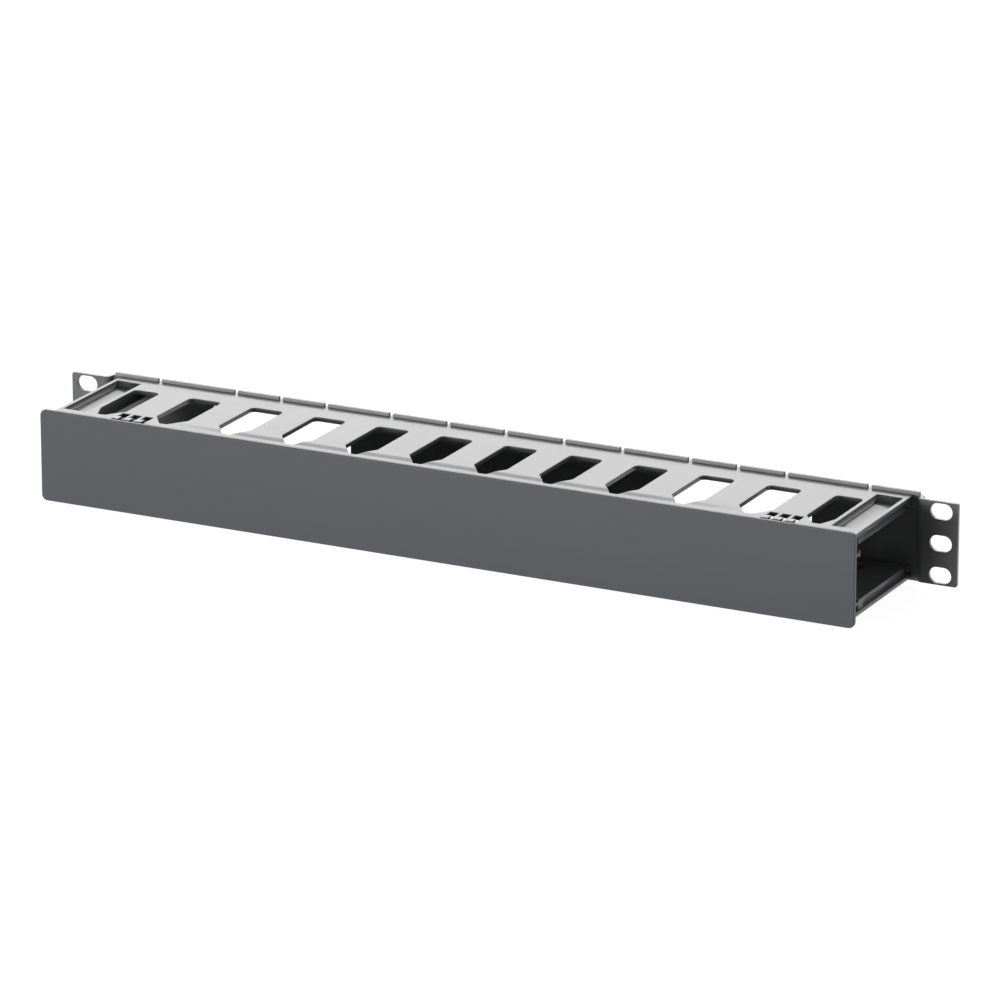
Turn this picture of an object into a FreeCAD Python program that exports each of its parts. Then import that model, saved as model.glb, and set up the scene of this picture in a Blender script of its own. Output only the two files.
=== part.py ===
import FreeCAD, Part
import math
import os

# A horizontal cable manager, one unit high, for a 19-inch rack. A folded steel plate
# with an ear at each end carries an upper and a lower moulded duct wall, which hook
# over its edges. An extruded cover closes the front. It turns on two moulded clips,
# whose hooks clasp round bars in the front edge of the walls.
#
# Millimetres. X runs along the rack's width, +Y goes into the rack, +Z is up. The
# origin is midway between the ears, in the plane where their rear faces meet the rails.

V = FreeCAD.Vector
os.makedirs("parts", exist_ok=True)

# Rack panel: folded sheet
RACK_WIDTH = 482.6
EAR_WIDTH = 18.2
EAR_CORNER = 1.2
EAR_FORWARD = 5.0
SLOTS_PER_EAR = 3
SLOT_PITCH = 15.875
SLOT_LENGTH = 11.4
SLOT_HEIGHT = 8.0
SLOT_TO_END = 8.75
SLOT_WEB = 0.9
SHEET = 2.0
BEND_RADIUS = 1.0
PLATE_LIP = 1.6
PASS_WIDTH = 78.0
PASS_HEIGHT = 28.0
PASS_TO_END = 94.5
PASS_CORNER = 4.0

# Duct walls: one moulding, used twice
DUCT_INSET = 2.9
DUCT_HEIGHT = 41.2
DUCT_DEPTH = 70.3
WALL = 2.3
WALL_CORNER = 2.0
WINDOWS = 12
WINDOW_TO_END = 23.7
WINDOW_WIDTH = 17.4
WINDOW_SETBACK = 17.0
WINDOW_STRIP = 10.1
WINDOW_POINT = 9.2
WINDOW_TIP = 4.0
WINDOW_CORNER = 2.6
WINDOW_TIP_CORNER = 1.2
END_WINDOW_TRIM = 3.2
RIB = 2.5
POCKET_DEPTH = 4.8
POCKET_SETBACK = 7.0
POCKET_STRIP = 10.3
POCKET_WALL = 2.0
RIM_OVERHANG = 1.2
HEEL_HEIGHT = 6.0
HEEL_THICKNESS = 2.0
HEEL_FILLET = 1.5

# Hooks that hold the walls to the plate
TAB_WIDTH = 3.2
TAB_THICKNESS = 1.9
TAB_BARB = 1.8
TAB_BARB_LENGTH = 2.2
TAB_CLEARANCE = 0.1
TAB_PITCH_MIDDLE = 31.5
TAB_PITCH_PASS = 25.4
TAB_TO_END = 22.8

# Hinge bars in the front edge of each wall, and the slots behind them
HOOKS = 3
HOOK_PITCH = 6.4
HOOK_WIDTH = 3.6
HOOK_SIDE_GAP = 0.3
HOOK_THICKNESS = 1.2
BAR_RADIUS = 1.5
BAR_SETBACK = 6.0
BAR_SINK = 0.2
BAR_RUNNING_FIT = 0.1
FINGER_ROOM = 10.0
MOUTH_HALF_ANGLE = 50.0
FORK_CLEARANCE = 0.3
FORK_REACH = 2.2

# Cover: one extrusion with two T ribs along its back
COVER_PAST_END = 2.7
COVER_PAST_WALL = 2.8
COVER_THICKNESS = 2.2
COVER_GAP = 2.3
COVER_CORNER = 3.0
COVER_EDGE = 0.6
TRACK_BELOW_BAR = 6.9
TRACK_STEM = 1.6
TRACK_HEAD = 3.4
TRACK_HEAD_THICKNESS = 1.2
TRACK_DEPTH = 4.0
CLIP_FIT = 0.1
CLIP_BASE = 2.0
CLIP_ARM = 2.2
CLIP_ARM_GAP = 0.4
CLIP_SPARE = 1.2

# Places worked out from the sizes above
EAR_HEIGHT = (SLOTS_PER_EAR - 1) * SLOT_PITCH + SLOT_HEIGHT + 2 * SLOT_WEB
SLOT_X = RACK_WIDTH / 2 - SLOT_TO_END
FOLD = 2 * BEND_RADIUS + SHEET
PLATE_WIDTH = RACK_WIDTH - 2 * (EAR_WIDTH + FOLD)
PLATE_HEIGHT = DUCT_HEIGHT + 2 * PLATE_LIP
PLATE_FRONT = EAR_FORWARD - SHEET
PLATE_BACK = PLATE_FRONT + SHEET
PASS_CENTRE = PLATE_WIDTH / 2 - PASS_TO_END
DUCT_WIDTH = PLATE_WIDTH - 2 * DUCT_INSET
WALL_TOP = DUCT_HEIGHT / 2
WALL_UNDER = WALL_TOP - WALL
WALL_FRONT = PLATE_FRONT - DUCT_DEPTH
WINDOW_PITCH = (DUCT_WIDTH - 2 * WINDOW_TO_END) / (WINDOWS - 1)
END_WINDOW_EDGE = DUCT_WIDTH / 2 - WINDOW_TO_END + WINDOW_WIDTH / 2 - END_WINDOW_TRIM
HINGE_X = (WINDOWS / 2 - 1) * WINDOW_PITCH
BAR_Y = WALL_FRONT + BAR_SETBACK
BAR_Z = WALL_TOP - BAR_SINK - BAR_RADIUS
HOOK_OUTER = BAR_RADIUS + BAR_RUNNING_FIT + HOOK_THICKNESS
BAND = (HOOKS - 1) * HOOK_PITCH + HOOK_WIDTH
COVER_WIDTH = DUCT_WIDTH + 2 * COVER_PAST_END
COVER_HEIGHT = DUCT_HEIGHT + 2 * COVER_PAST_WALL
COVER_BACK = WALL_FRONT - COVER_GAP
COVER_FRONT = COVER_BACK - COVER_THICKNESS
TRACK_CENTRE = BAR_Z - TRACK_BELOW_BAR
MORE = 1.0


def box(x0, x1, y0, y1, z0, z1):
    return Part.makeBox(x1 - x0, y1 - y0, z1 - z0, V(x0, y0, z0))


def prism(points, direction):
    """A closed outline of straight edges, pushed along a direction."""
    wire = Part.makePolygon(points + [points[0]])
    return Part.Face(wire).extrude(direction)


def side_profile(outline, x0, x1):
    """An outline of (y, z) points, pushed along X."""
    return prism([V(x0, y, z) for y, z in outline], V(x1 - x0, 0, 0))


def upright_edges(solid, axis):
    """The straight edges of a solid that run along one axis."""
    kept = []
    for edge in solid.Edges:
        if not isinstance(edge.Curve, (Part.Line, Part.LineSegment)):
            continue
        run = edge.Vertexes[-1].Point - edge.Vertexes[0].Point
        if run.Length > 1e-6 and abs(run.normalize().dot(axis)) > 0.999:
            kept.append(edge)
    return kept


def rounded(solid, axis, radius):
    return solid.makeFillet(radius, upright_edges(solid, axis))


def mirrored_x(solid):
    return solid.mirror(V(0, 0, 0), V(1, 0, 0))


def mirrored_z(solid):
    return solid.mirror(V(0, 0, 0), V(0, 0, 1))


def joined(pieces):
    whole = pieces[0].fuse(pieces[1:])
    return whole.removeSplitter()


def tab_places():
    """Centres of the hooks along the plate's edge, the same on both halves."""
    right = [TAB_PITCH_MIDDLE * n for n in (1, 2)]
    right += [PASS_CENTRE + TAB_PITCH_PASS * n for n in (-1, 0, 1)]
    right.append(DUCT_WIDTH / 2 - TAB_TO_END)
    return [-x for x in reversed(right)] + [0.0] + right


def hook_places(side):
    """Centres of the hooks of one hinge clip."""
    start = side * HINGE_X - (HOOKS - 1) / 2 * HOOK_PITCH
    return [start + n * HOOK_PITCH for n in range(HOOKS)]


def write(name, shape):
    solids = shape.Solids
    if len(solids) != 1 or not shape.isValid():
        raise RuntimeError(name + " is not one valid solid")
    solids[0].exportStep("parts/" + name + ".step")
    print(name, "volume", round(shape.Volume), "mm3")


def slot_cutter(x, z):
    """A screw slot of the ear: straight sides and full round ends."""
    radius = SLOT_HEIGHT / 2
    reach = SLOT_LENGTH / 2 - radius
    start = -SHEET - MORE
    depth = SHEET + 2 * MORE
    middle = box(x - reach, x + reach, start, start + depth, z - radius, z + radius)
    ends = [Part.makeCylinder(radius, depth, V(x + side * reach, start, z), V(0, 1, 0)) for side in (-1, 1)]
    return joined([middle] + ends)


def rack_panel():
    """The folded plate: a back between the rails, with an ear stepped forward at each end."""
    half = PLATE_HEIGHT / 2
    back = box(-PLATE_WIDTH / 2, PLATE_WIDTH / 2, PLATE_FRONT, PLATE_BACK, -half, half)
    step = EAR_FORWARD - FOLD
    bend_x = PLATE_WIDTH / 2
    fold_x = bend_x + FOLD
    outer = BEND_RADIUS + SHEET

    def ring(centre_x, centre_y, start):
        arc_in = Part.makeCircle(BEND_RADIUS, V(centre_x, centre_y, 0), V(0, 0, 1), start, start + 90)
        arc_out = Part.makeCircle(outer, V(centre_x, centre_y, 0), V(0, 0, 1), start, start + 90)
        ends = [(arc_in.Vertexes[n].Point, arc_out.Vertexes[n].Point) for n in (0, -1)]
        caps = [Part.makeLine(a, b) for a, b in ends]
        wire = Part.Wire(Part.__sortEdges__([arc_in, arc_out] + caps))
        return Part.Face(wire).extrude(V(0, 0, EAR_HEIGHT))

    back_bend = ring(bend_x, PLATE_FRONT - BEND_RADIUS, 0)
    front_bend = ring(fold_x, BEND_RADIUS, 180)
    riser = box(bend_x + BEND_RADIUS, bend_x + outer, BEND_RADIUS, BEND_RADIUS + step, 0, EAR_HEIGHT)
    ear = box(fold_x, RACK_WIDTH / 2, -SHEET, 0, 0, EAR_HEIGHT)
    tips = [e for e in upright_edges(ear, V(0, 1, 0)) if e.CenterOfMass.x > RACK_WIDTH / 2 - 1]
    ear = ear.makeFillet(EAR_CORNER, tips)
    fold = joined([back_bend, riser, front_bend, ear])
    fold.translate(V(0, 0, -EAR_HEIGHT / 2))
    panel = joined([back, fold, mirrored_x(fold)])

    cuts = []
    for side in (-1, 1):
        for n in range(SLOTS_PER_EAR):
            cuts.append(slot_cutter(side * SLOT_X, (n - (SLOTS_PER_EAR - 1) / 2) * SLOT_PITCH))
        x = side * PASS_CENTRE
        opening = box(x - PASS_WIDTH / 2, x + PASS_WIDTH / 2, PLATE_FRONT - MORE, PLATE_BACK + MORE,
                      -PASS_HEIGHT / 2, PASS_HEIGHT / 2)
        cuts.append(rounded(opening, V(0, 1, 0), PASS_CORNER))
    gap = TAB_WIDTH / 2 + TAB_CLEARANCE
    floor = WALL_TOP - TAB_THICKNESS - TAB_CLEARANCE
    for x in tab_places():
        notch = box(x - gap, x + gap, PLATE_FRONT - MORE, PLATE_BACK + MORE, floor, half + MORE)
        cuts += [notch, mirrored_z(notch)]
    return panel.cut(cuts)


def window(index):
    """One cable window: a long opening whose front end narrows to a blunt point."""
    x = (index - (WINDOWS - 1) / 2) * WINDOW_PITCH
    back = PLATE_FRONT - WINDOW_SETBACK
    tip = WALL_FRONT + WINDOW_STRIP
    shoulder = tip + WINDOW_POINT
    left = -WINDOW_WIDTH / 2
    right = WINDOW_WIDTH / 2
    if index == 0:
        left += END_WINDOW_TRIM
    if index == WINDOWS - 1:
        right -= END_WINDOW_TRIM
    outline = [(left, back), (left, shoulder), (-WINDOW_TIP / 2, tip), (WINDOW_TIP / 2, tip),
               (right, shoulder), (right, back)]
    low = WALL_UNDER - MORE
    points = [V(x + px, py, low) for px, py in outline]
    cutter = prism(points, V(0, 0, WALL + 2 * MORE))
    body = [e for e in upright_edges(cutter, V(0, 0, 1)) if e.CenterOfMass.y > tip + MORE]
    cutter = cutter.makeFillet(WINDOW_CORNER, body)
    point = [e for e in upright_edges(cutter, V(0, 0, 1)) if e.CenterOfMass.y < tip + MORE]
    return cutter.makeFillet(WINDOW_TIP_CORNER, point)


def duct_wall():
    """The upper wall: windows, end pockets, hooks at the back and hinge bars at the front."""
    half = DUCT_WIDTH / 2
    plate = box(-half, half, WALL_FRONT, PLATE_FRONT, WALL_UNDER, WALL_TOP)
    front = [e for e in upright_edges(plate, V(0, 0, 1)) if e.CenterOfMass.y < WALL_FRONT + MORE]
    plate = plate.makeFillet(WALL_CORNER, front)
    heel = [(PLATE_FRONT, WALL_UNDER), (PLATE_FRONT, WALL_TOP - HEEL_HEIGHT),
            (PLATE_FRONT - HEEL_THICKNESS, WALL_TOP - HEEL_HEIGHT),
            (PLATE_FRONT - HEEL_THICKNESS, WALL_UNDER - HEEL_FILLET),
            (PLATE_FRONT - HEEL_THICKNESS - HEEL_FILLET, WALL_UNDER)]
    pieces = [plate, side_profile(heel, -half + RIM_OVERHANG, half - RIM_OVERHANG)]

    pocket_back = PLATE_FRONT - POCKET_SETBACK
    pocket_front = WALL_FRONT + POCKET_STRIP
    pocket_in = END_WINDOW_EDGE + RIB
    pocket_out = half - RIB
    bottom = WALL_TOP - POCKET_DEPTH - POCKET_WALL
    for side in (-1, 1):
        xs = sorted((side * END_WINDOW_EDGE, side * (half - RIM_OVERHANG)))
        pieces.append(box(xs[0], xs[1], pocket_front - POCKET_WALL, pocket_back + POCKET_WALL,
                          bottom, WALL_UNDER))
    wall = joined(pieces)

    cuts = [window(n) for n in range(WINDOWS)]
    for side in (-1, 1):
        xs = sorted((side * pocket_in, side * pocket_out))
        cuts.append(box(xs[0], xs[1], pocket_front, pocket_back, WALL_TOP - POCKET_DEPTH, WALL_TOP + MORE))
        centre = side * HINGE_X
        reach = BAND / 2 + HOOK_SIDE_GAP
        cuts.append(box(centre - reach, centre + reach, WALL_FRONT - MORE, BAR_Y,
                        WALL_UNDER - MORE, WALL_TOP + MORE))
        for x in hook_places(side):
            gap = HOOK_WIDTH / 2 + HOOK_SIDE_GAP
            cuts.append(box(x - gap, x + gap, BAR_Y - MORE, BAR_Y + FINGER_ROOM,
                            WALL_UNDER - MORE, WALL_TOP + MORE))
    wall = wall.cut(cuts)

    extras = []
    for side in (-1, 1):
        start = side * HINGE_X - BAND / 2 - HOOK_SIDE_GAP - MORE
        length = BAND + 2 * (HOOK_SIDE_GAP + MORE)
        extras.append(Part.makeCylinder(BAR_RADIUS, length, V(start, BAR_Y, BAR_Z), V(1, 0, 0)))
    under = WALL_TOP - TAB_THICKNESS
    hook_start = PLATE_BACK + TAB_CLEARANCE
    hook_end = hook_start + TAB_BARB_LENGTH
    barb = [(PLATE_FRONT - MORE, under), (hook_start, under), (hook_start, under - TAB_BARB),
            (hook_end - TAB_BARB_LENGTH / 2, under - TAB_BARB), (hook_end, under), (hook_end, WALL_TOP),
            (PLATE_FRONT - MORE, WALL_TOP)]
    for x in tab_places():
        extras.append(side_profile(barb, x - TAB_WIDTH / 2, x + TAB_WIDTH / 2))
    return joined([wall] + extras)


def front_cover():
    """The cover: a flat plate with rounded corners and two T ribs along its back."""
    half_x = COVER_WIDTH / 2
    half_z = COVER_HEIGHT / 2
    plate = box(-half_x, half_x, COVER_FRONT, COVER_BACK, -half_z, half_z)
    plate = rounded(plate, V(0, 1, 0), COVER_CORNER)
    rim = [e for e in plate.Edges if e.BoundBox.YMax < COVER_FRONT + 1e-6]
    plate = plate.makeFillet(COVER_EDGE, rim)
    head_front = COVER_BACK + TRACK_DEPTH - TRACK_HEAD_THICKNESS
    stem = [(COVER_BACK, TRACK_CENTRE - TRACK_STEM / 2), (head_front, TRACK_CENTRE - TRACK_STEM / 2),
            (head_front, TRACK_CENTRE - TRACK_HEAD / 2),
            (COVER_BACK + TRACK_DEPTH, TRACK_CENTRE - TRACK_HEAD / 2),
            (COVER_BACK + TRACK_DEPTH, TRACK_CENTRE + TRACK_HEAD / 2),
            (head_front, TRACK_CENTRE + TRACK_HEAD / 2),
            (head_front, TRACK_CENTRE + TRACK_STEM / 2), (COVER_BACK, TRACK_CENTRE + TRACK_STEM / 2)]
    rib = side_profile(stem, -half_x, half_x)
    return joined([plate, rib, mirrored_z(rib)])


def hook_ring(open_mouth):
    """The clasp round a hinge bar, in the plane of its section, mouth to the rear."""
    inner = BAR_RADIUS + BAR_RUNNING_FIT
    disc = Part.makeCylinder(HOOK_OUTER, HOOK_WIDTH, V(-HOOK_WIDTH / 2, 0, 0), V(1, 0, 0))
    bore = Part.makeCylinder(inner, HOOK_WIDTH + 2 * MORE, V(-HOOK_WIDTH / 2 - MORE, 0, 0), V(1, 0, 0))
    reach = HOOK_OUTER + MORE
    if open_mouth:
        gap = BAR_RADIUS + FORK_CLEARANCE
        block = box(-HOOK_WIDTH / 2, HOOK_WIDTH / 2, 0, FORK_REACH, -HOOK_OUTER, HOOK_OUTER)
        channel = box(-HOOK_WIDTH / 2 - MORE, HOOK_WIDTH / 2 + MORE, 0, reach, -gap, gap)
        wide = Part.makeCylinder(gap, HOOK_WIDTH + 2 * MORE, V(-HOOK_WIDTH / 2 - MORE, 0, 0), V(1, 0, 0))
        front_half = disc.common(box(-HOOK_WIDTH, HOOK_WIDTH, -reach, 0, -reach, reach))
        return front_half.fuse(block).cut([channel, wide])
    spread = reach * math.tan(math.radians(MOUTH_HALF_ANGLE))
    wedge = side_profile([(0, 0), (reach, spread), (reach, -spread)], -HOOK_WIDTH, HOOK_WIDTH)
    return disc.cut([bore, wedge])


def hinge_clip(side):
    """A clip that slides on between the ribs, with hooks for the upper and the lower bars."""
    tongue = TRACK_CENTRE - TRACK_STEM / 2 - CLIP_FIT
    neck = TRACK_CENTRE - TRACK_HEAD / 2 - CLIP_FIT
    tongue_back = COVER_BACK + TRACK_DEPTH - TRACK_HEAD_THICKNESS - CLIP_FIT
    arm_front = COVER_BACK + TRACK_DEPTH + CLIP_ARM_GAP
    arm_back = arm_front + CLIP_ARM
    shelf = BAR_Z - HOOK_OUTER - CLIP_SPARE
    inner = neck - CLIP_BASE
    half = [(COVER_BACK, 0), (COVER_BACK, tongue), (tongue_back, tongue), (tongue_back, neck),
            (arm_front, neck), (arm_front, shelf), (arm_back, shelf), (arm_back, inner),
            (COVER_BACK + CLIP_BASE, inner), (COVER_BACK + CLIP_BASE, 0)]
    x0 = side * HINGE_X - BAND / 2
    upper = side_profile(half, x0, x0 + BAND)
    pieces = [upper, mirrored_z(upper)]
    for x in hook_places(side):
        finger = box(x - HOOK_WIDTH / 2, x + HOOK_WIDTH / 2, arm_front, arm_back, shelf - MORE, BAR_Z)
        clear = Part.makeCylinder(BAR_RADIUS + FORK_CLEARANCE, HOOK_WIDTH + 2 * MORE,
                                  V(x - HOOK_WIDTH / 2 - MORE, BAR_Y, BAR_Z), V(1, 0, 0))
        finger = finger.cut(clear)
        for open_mouth in (False, True):
            ring = hook_ring(open_mouth)
            ring.translate(V(x, BAR_Y, BAR_Z))
            hook = ring.fuse(finger)
            pieces.append(mirrored_z(hook) if open_mouth else hook)
    return joined(pieces)


upper_wall = duct_wall()
write("rack_panel", rack_panel())
write("upper_duct_wall", upper_wall)
write("lower_duct_wall", mirrored_z(upper_wall))
write("front_cover", front_cover())
write("left_hinge_clip", hinge_clip(-1))
write("right_hinge_clip", hinge_clip(1))
print("hinge axis y", round(BAR_Y, 3), "z", round(BAR_Z, 3))
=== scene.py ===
import bpy
import bmesh
import math
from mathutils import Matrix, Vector


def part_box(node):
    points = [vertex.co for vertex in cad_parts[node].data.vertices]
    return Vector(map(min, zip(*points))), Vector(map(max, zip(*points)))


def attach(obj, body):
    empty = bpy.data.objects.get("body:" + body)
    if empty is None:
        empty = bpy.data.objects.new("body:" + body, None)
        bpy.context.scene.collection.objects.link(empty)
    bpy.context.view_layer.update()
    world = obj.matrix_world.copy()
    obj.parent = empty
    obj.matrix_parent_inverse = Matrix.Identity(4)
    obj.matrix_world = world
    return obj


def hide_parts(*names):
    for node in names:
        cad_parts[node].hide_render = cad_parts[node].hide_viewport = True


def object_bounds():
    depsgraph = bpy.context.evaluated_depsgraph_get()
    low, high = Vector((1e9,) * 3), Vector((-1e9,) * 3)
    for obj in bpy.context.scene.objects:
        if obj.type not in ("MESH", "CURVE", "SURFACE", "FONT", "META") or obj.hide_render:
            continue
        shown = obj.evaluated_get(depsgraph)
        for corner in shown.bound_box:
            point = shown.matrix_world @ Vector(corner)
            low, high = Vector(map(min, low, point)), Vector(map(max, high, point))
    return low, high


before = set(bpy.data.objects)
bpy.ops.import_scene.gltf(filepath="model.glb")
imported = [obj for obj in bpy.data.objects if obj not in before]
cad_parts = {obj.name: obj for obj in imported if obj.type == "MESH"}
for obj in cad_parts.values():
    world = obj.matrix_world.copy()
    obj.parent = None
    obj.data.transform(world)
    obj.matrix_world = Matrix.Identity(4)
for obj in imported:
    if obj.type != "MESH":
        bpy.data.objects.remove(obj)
cad_low, cad_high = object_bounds()

# The photographer's place: a long lens three metres away, to the right of the cover and
# a little above it. Its turn, drop and distance were fitted to the corners of the cover
# and the slots of the ears.
view_turn = math.radians(26.67)
view_drop = math.radians(17.89)
view_distance = 3.1633
view_far = 50
lens_length = 233.24
sensor_width = 36
aim_left = 0.0013
aim_below = 0.0119

forward = Vector((-math.sin(view_turn) * math.cos(view_drop),
                  math.cos(view_turn) * math.cos(view_drop),
                  -math.sin(view_drop)))
rightward = Vector((math.cos(view_turn), math.sin(view_turn), 0))
upward = rightward.cross(forward)
aim = -aim_left * rightward - aim_below * upward

camera_data = bpy.data.cameras.new("photo_camera")
camera_data.lens = lens_length
camera_data.sensor_width = sensor_width
camera_data.clip_end = view_far
camera = bpy.data.objects.new("photo_camera", camera_data)
camera.location = aim - forward * view_distance
camera.rotation_euler = forward.to_track_quat("-Z", "Y").to_euler()
bpy.context.scene.collection.objects.link(camera)
bpy.context.scene.camera = camera


# The rack panel: one sheet of 2 mm steel, punched, folded forward at both ends into the
# slotted ears, deburred and powder coated dark grey. The coat dries with a very fine
# orange peel. The punched edges and the narrow lips get a paler grey, a painted highlight
# for the light that catches them.
panel_edge = 0.0002
panel_grey = (0.186, 0.189, 0.194)
# Paler grey for the punched edges and the lips: a painted highlight.
edge_highlight_grey = (0.35, 0.353, 0.358)
peel_scale = 1100
facing_front = -0.9
edge_facing = 0.3
fold_facing = 0.7
fold_inner = 0.218
fold_outer = 0.2235
lip_foot = 0.0206


def eased_copy(node, radius):
    """A piece that stands for a CAD node, its flats whole again and its outer edges eased."""
    same_place = 2e-6
    same_plane = math.radians(0.5)
    corner = math.radians(30)
    piece_mesh = bmesh.new()
    piece_mesh.from_mesh(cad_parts[node].data)
    bmesh.ops.remove_doubles(piece_mesh, verts=piece_mesh.verts, dist=same_place)
    bmesh.ops.dissolve_limit(piece_mesh, angle_limit=same_plane, verts=piece_mesh.verts,
                             edges=piece_mesh.edges, use_dissolve_boundaries=False)
    sharp = [e for e in piece_mesh.edges if e.is_convex and e.calc_face_angle(0) > corner]
    bmesh.ops.bevel(piece_mesh, geom=sharp, offset=radius, offset_type="OFFSET", affect="EDGES",
                    segments=2, profile=0.5, clamp_overlap=False, material=-1)
    for face in piece_mesh.faces:
        face.smooth = True
    data = bpy.data.meshes.new(node + "_finished")
    piece_mesh.to_mesh(data)
    piece_mesh.free()
    piece = bpy.data.objects.new(node + "_finished", data)
    bpy.context.scene.collection.objects.link(piece)
    weights = piece.modifiers.new("flat faces first", "WEIGHTED_NORMAL")
    weights.keep_sharp = True
    return piece


def grained(name, colour, roughness, grain_scale, grain_depth, stretch=(1, 1, 1)):
    """A finish with a grain and slow mottling that follow the piece, and its shader."""
    mottle_scale = 45
    mottle_tint = 0.12
    mottle_sheen = 0.04
    material = bpy.data.materials.new(name)
    material.use_nodes = True
    nodes = material.node_tree.nodes
    links = material.node_tree.links
    shader = nodes["Principled BSDF"]
    place = nodes.new("ShaderNodeTexCoord")
    spread = nodes.new("ShaderNodeMapping")
    spread.inputs["Scale"].default_value = stretch
    links.new(place.outputs["Object"], spread.inputs["Vector"])

    mottle = nodes.new("ShaderNodeTexNoise")
    mottle.inputs["Scale"].default_value = mottle_scale
    mottle.inputs["Detail"].default_value = 3
    links.new(spread.outputs["Vector"], mottle.inputs["Vector"])
    tint = nodes.new("ShaderNodeMapRange")
    tint.inputs["To Min"].default_value = 1 - mottle_tint
    tint.inputs["To Max"].default_value = 1 + mottle_tint
    links.new(mottle.outputs["Fac"], tint.inputs["Value"])
    shade = nodes.new("ShaderNodeVectorMath")
    shade.operation = "SCALE"
    shade.inputs[0].default_value = colour
    links.new(tint.outputs["Result"], shade.inputs["Scale"])
    links.new(shade.outputs["Vector"], shader.inputs["Base Color"])
    sheen = nodes.new("ShaderNodeMapRange")
    sheen.inputs["To Min"].default_value = roughness - mottle_sheen
    sheen.inputs["To Max"].default_value = roughness + mottle_sheen
    links.new(mottle.outputs["Fac"], sheen.inputs["Value"])
    links.new(sheen.outputs["Result"], shader.inputs["Roughness"])

    grain = nodes.new("ShaderNodeTexNoise")
    grain.inputs["Scale"].default_value = grain_scale
    grain.inputs["Detail"].default_value = 2
    links.new(spread.outputs["Vector"], grain.inputs["Vector"])
    relief = nodes.new("ShaderNodeBump")
    relief.inputs["Strength"].default_value = 1
    relief.inputs["Distance"].default_value = grain_depth
    links.new(grain.outputs["Fac"], relief.inputs["Height"])
    links.new(relief.outputs["Normal"], shader.inputs["Normal"])
    return material, shader


# Half of the notches, from the middle of the panel to an end, and where their sides are.
notches = (0, 0.0315, 0.063, 0.0992, 0.1246, 0.15, 0.1934)
notch_start = 0.0024
notch_root = 0.0165
notch_inner = 0.001
notch_outer = 0.0024
notch_narrowing = 0.0006


def narrowed_notches(piece):
    """Draws the notches of the panel, or a wall's hooks in them, in to their narrow marks."""
    centres = set(notches) | {-place for place in notches}
    for vert in piece.data.vertices:
        if vert.co.y > notch_start and abs(vert.co.z) > notch_root:
            for centre in centres:
                across = vert.co.x - centre
                if notch_inner < abs(across) < notch_outer:
                    vert.co.x -= math.copysign(notch_narrowing, across)


powder_coat, shader = grained("powder coat", panel_grey, 0.42, peel_scale, 0.00001)
shader.inputs["Specular IOR Level"].default_value = 0.25
# The paler finish is a painted highlight on the edges and the lips, not the coat's own colour.
edge_highlight_finish, shader = grained("painted highlight on the edges and lips", edge_highlight_grey, 0.3, peel_scale, 0.000005)

panel = eased_copy("rack_panel", panel_edge)
narrowed_notches(panel)
panel_mesh = bmesh.new()
panel_mesh.from_mesh(panel.data)
for side in (-1, 1):
    fronts = [face for face in panel_mesh.faces if face.normal.y < facing_front]
    plate = max(fronts, key=lambda face: face.calc_area())
    whole_plate = plate.verts[:] + plate.edges[:] + [plate]
    bmesh.ops.bisect_plane(panel_mesh, geom=whole_plate, dist=1e-6,
                           plane_co=(0, 0, side * lip_foot), plane_no=(0, 0, 1))
panel_mesh.to_mesh(panel.data)
panel_mesh.free()
panel.data.materials.append(powder_coat)
panel.data.materials.append(edge_highlight_finish)
# Edge faces and lip faces get the paler finish, which is a painted highlight.
for face in panel.data.polygons:
    along_fold = fold_inner < abs(face.center.x) < fold_outer
    in_fold = along_fold and abs(face.normal.x) > fold_facing
    edge_in_highlight = abs(face.normal.y) < edge_facing and not in_fold
    lip_in_highlight = abs(face.center.z) > lip_foot and face.center.y > notch_start
    if lip_in_highlight or edge_in_highlight:
        face.material_index = 1
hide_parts("rack_panel")
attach(panel, "duct")


# The duct walls: one moulding in a semi-gloss dark grey plastic, used above and turned
# over below. Thirteen hooks at the back hold each one in the notches of the panel, and
# two round bars near its front carry the clips of the cover.
wall_edge = 0.00045
wall_grey = (0.058, 0.06, 0.064)
rounding = 1e-5

# The strip in front of the windows falls away a little, most of all in its middle.
strip_back = -0.0525
strip_front = -0.0575
strip_drop = 0.00065
strip_rows = 8
strip_full = 0.10
strip_gone = 0.165
strip_columns = 9

# The heads of the hooks behind the panel are longer, and the pocket at each end of a wall
# is shallower.
hook_head = 0.0056
hook_more = 0.002
pocket_side = 0.194
pocket_floor = 0.0158
pocket_rise = 0.0014


def semi_gloss(shader):
    """The lacquer-like sheen of a part moulded in a polished tool."""
    shader.inputs["Specular IOR Level"].default_value = 0.3
    shader.inputs["Coat Weight"].default_value = 0.5
    shader.inputs["Coat Roughness"].default_value = 0.14


def evenly(first, last, parts):
    return [first + (last - first) * n / parts for n in range(parts + 1)]


def eased_step(distance, start, end):
    share = min(max((distance - start) / (end - start), 0), 1)
    return share * share * (3 - 2 * share)


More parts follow.
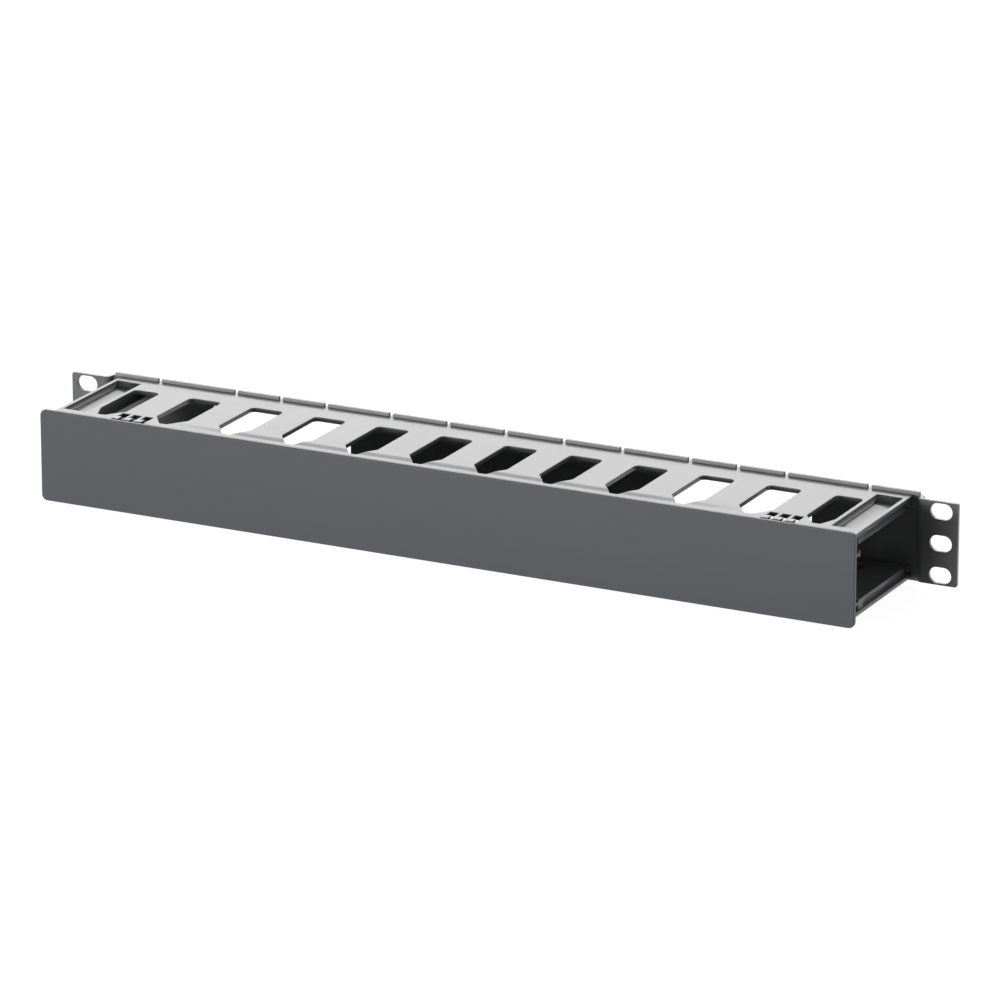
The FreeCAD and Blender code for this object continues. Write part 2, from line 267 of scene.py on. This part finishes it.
moulded_plastic, shader = grained("moulded plastic", wall_grey, 0.5, 1500, 0.000006)
semi_gloss(shader)
for node in ("upper_duct_wall", "lower_duct_wall"):
    wall = eased_copy(node, wall_edge)
    narrowed_notches(wall)
    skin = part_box(node)[0 if node == "lower_duct_wall" else 1].z
    skin_depth = wall_edge * 1.5
    wall_mesh = bmesh.new()
    wall_mesh.from_mesh(wall.data)
    rows = evenly(strip_front, strip_back, strip_rows)
    columns = evenly(strip_full, strip_gone, strip_columns)
    planes = [((0, y, 0), (0, 1, 0)) for y in rows]
    planes += [((side * x, 0, 0), (1, 0, 0)) for x in columns for side in (-1, 1)]
    for point, normal in planes:
        everything = wall_mesh.verts[:] + wall_mesh.edges[:] + wall_mesh.faces[:]
        bmesh.ops.bisect_plane(wall_mesh, geom=everything, dist=1e-6,
                               plane_co=point, plane_no=normal)
    for vert in wall_mesh.verts:
        if abs(vert.co.z - skin) < skin_depth:
            drop = strip_drop * eased_step(-vert.co.y, -strip_back, -strip_front)
            drop *= 1 - eased_step(abs(vert.co.x), strip_full, strip_gone)
            vert.co.z -= math.copysign(drop, skin)
        if vert.co.y > hook_head:
            vert.co.y += hook_more
        over_floor = abs(vert.co.z) - pocket_floor + rounding
        if abs(vert.co.x) > pocket_side and 0 <= over_floor < skin_depth:
            vert.co.z += math.copysign(pocket_rise, skin)
    wall_mesh.to_mesh(wall.data)
    wall_mesh.free()
    wall.data.materials.append(moulded_plastic)
    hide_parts(node)
    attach(wall, "duct")


# The front cover: a flat plastic extrusion with two T ribs along its back, cut to length
# with rounded corners. Drawing it through the die leaves faint lines along it, and its
# face is a satin that shows the light as a soft, even sheen.
cover_edge = 0.0002
cover_grey = (0.067, 0.074, 0.082)
drawn_along = (0.03, 1, 1)
drawn_plastic, shader = grained("drawn plastic", cover_grey, 0.45, 900, 0.000006, drawn_along)
cover = eased_copy("front_cover", cover_edge)
cover.data.materials.append(drawn_plastic)
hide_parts("front_cover")
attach(cover, "cover")


# The hinge clips: two small mouldings slid on between the ribs of the cover. Three hooks
# at the top of each clasp the upper bar, and three below snap over the lower bar. The upper
# hooks are squared off outside, so that their flat tops close the front of the slots.
clip_edge = 0.00015
clip_grey = (0.045, 0.047, 0.05)
bar_back = -0.0613
bar_height = 0.0189
hook_skin = 0.0023
hook_reach = 0.004
hook_square = 6
clip_plastic, shader = grained("clip plastic", clip_grey, 0.45, 1500, 0.000006)
semi_gloss(shader)
for node in ("left_hinge_clip", "right_hinge_clip"):
    clip = eased_copy(node, clip_edge)
    for vert in clip.data.vertices:
        along = vert.co.y - bar_back
        above = vert.co.z - bar_height
        reach = math.hypot(along, above)
        if above > 0 and hook_skin < reach < hook_reach:
            square = (abs(along) ** hook_square + above ** hook_square) ** (1 / hook_square)
            vert.co.y = bar_back + along * reach / square
            vert.co.z = bar_height + above * reach / square
    clip.data.materials.append(clip_plastic)
    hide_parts(node)
    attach(clip, "cover")


# The studio: a pale floor that the cover stands on, seen as white as the background,
# with only the soft shade of the part left on it.
floor_reach = 6.0
floor_gap = 0.0002
floor_grey = (0.5, 0.5, 0.5, 1)
floor_white = 0.92
white = (1, 1, 1, 1)


def seen_straight_or_mirrored(nodes, links):
    """1 for what the lens or a gloss sees, and 0 for light that only falls on the part."""
    seen = nodes.new("ShaderNodeLightPath")
    direct = nodes.new("ShaderNodeMath")
    direct.operation = "MAXIMUM"
    links.new(seen.outputs["Is Camera Ray"], direct.inputs[0])
    links.new(seen.outputs["Is Glossy Ray"], direct.inputs[1])
    return direct.outputs["Value"]


floor_mesh = bmesh.new()
bmesh.ops.create_grid(floor_mesh, x_segments=1, y_segments=1, size=floor_reach)
bmesh.ops.translate(floor_mesh, verts=floor_mesh.verts, vec=(0, 0, cad_low.z - floor_gap))
floor_data = bpy.data.meshes.new("studio_floor")
floor_mesh.to_mesh(floor_data)
floor_mesh.free()
floor = bpy.data.objects.new("studio_floor", floor_data)
bpy.context.scene.collection.objects.link(floor)
floor_paint = bpy.data.materials.new("studio white")
floor_paint.use_nodes = True
nodes = floor_paint.node_tree.nodes
links = floor_paint.node_tree.links
floor_shader = nodes["Principled BSDF"]
floor_shader.inputs["Base Color"].default_value = floor_grey
floor_shader.inputs["Roughness"].default_value = 1
floor_shader.inputs["Specular IOR Level"].default_value = 0
floor_shader.inputs["Emission Color"].default_value = white
lift = nodes.new("ShaderNodeMath")
lift.operation = "MULTIPLY"
lift.inputs[1].default_value = floor_white
links.new(seen_straight_or_mirrored(nodes, links), lift.inputs[0])
links.new(lift.outputs["Value"], floor_shader.inputs["Emission Strength"])
floor_data.materials.append(floor_paint)


# The lights: a bright low panel behind the part, which the glossy walls mirror towards
# the lens, a soft box to the front left for the cover, one to the right for the cut edges,
# and an even white room.
room_fill = 0.08


def soft_box(name, place, target, width, height, power):
    data = bpy.data.lights.new(name, "AREA")
    data.shape = "RECTANGLE"
    data.size = width
    data.size_y = height
    data.energy = power
    lamp = bpy.data.objects.new(name, data)
    lamp.location = place
    lamp.rotation_euler = (Vector(target) - Vector(place)).to_track_quat("-Z", "Y").to_euler()
    bpy.context.scene.collection.objects.link(lamp)


soft_box("rear_panel_light", (-0.8, 2.05, 1.05), (0, 0, 0), 2.6, 1.5, 35)
soft_box("front_left_light", (-0.5, -1.6, 0.17), (0, 0, 0), 1.1, 0.24, 17)
soft_box("right_light", (1.9, 0.35, 0.25), (0.2, 0, 0), 0.5, 0.5, 10)

room = bpy.data.worlds.new("white room")
bpy.context.scene.world = room
room.use_nodes = True
nodes = room.node_tree.nodes
links = room.node_tree.links
backdrop = nodes["Background"]
backdrop.inputs["Color"].default_value = white
level = nodes.new("ShaderNodeMapRange")
level.inputs["To Min"].default_value = room_fill
level.inputs["To Max"].default_value = 1
links.new(seen_straight_or_mirrored(nodes, links), level.inputs["Value"])
links.new(level.outputs["Result"], backdrop.inputs["Strength"])

bpy.context.scene.view_settings.view_transform = "Standard"
